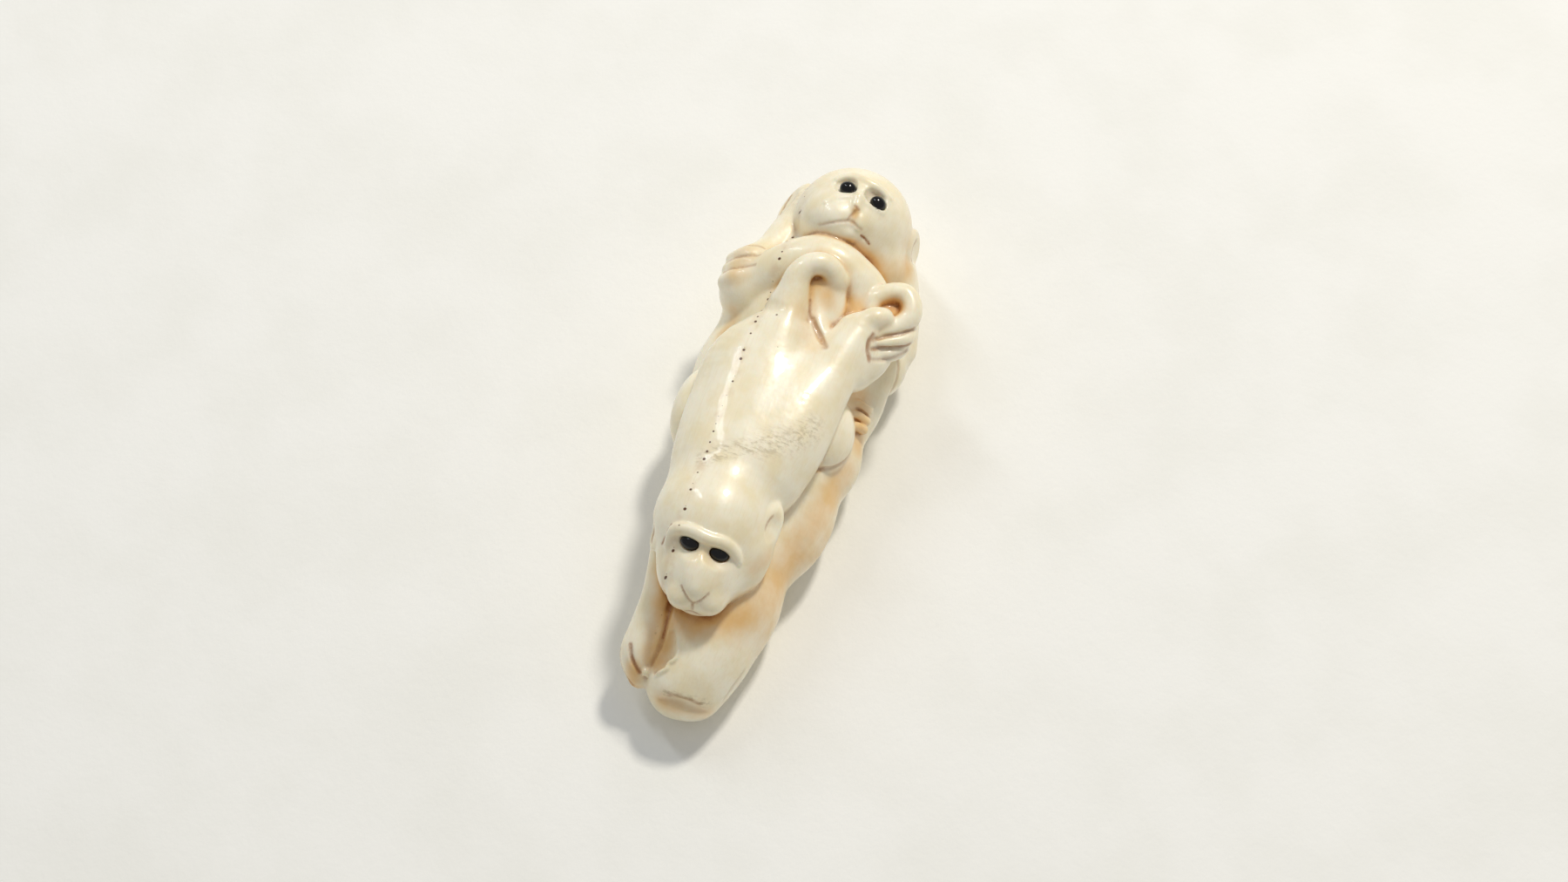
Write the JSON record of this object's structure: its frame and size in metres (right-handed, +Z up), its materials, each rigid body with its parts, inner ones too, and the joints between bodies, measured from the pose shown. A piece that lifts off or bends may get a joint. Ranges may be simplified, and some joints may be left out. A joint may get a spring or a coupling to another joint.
{
  "type": "carved ivory netsuke of two monkeys on a branch",
  "caption": "Long ivory netsuke of two monkeys clasped on a gnarled branch, with inlaid black eyes and cord holes underneath.",
  "frame": {"origin": "middle of the underside, on the surface that the carving lies on", "axes": "+Z up, +X along the branch from its sawn end to the rear monkey's crown, +Y towards both monkeys' right-hand side"},
  "size_m": [0.0615, 0.0214, 0.0169],
  "materials": {
    "ivory": "polished ivory, warm white, stained brown in the hollows",
    "horn": "polished black horn"
  },
  "bodies": {
    "root": {"monkeys_and_branch": "ivory", "front_monkey_right_eye": "horn", "front_monkey_left_eye": "horn", "rear_monkey_right_eye": "horn", "rear_monkey_left_eye": "horn"}
  },
  "joints": []
}
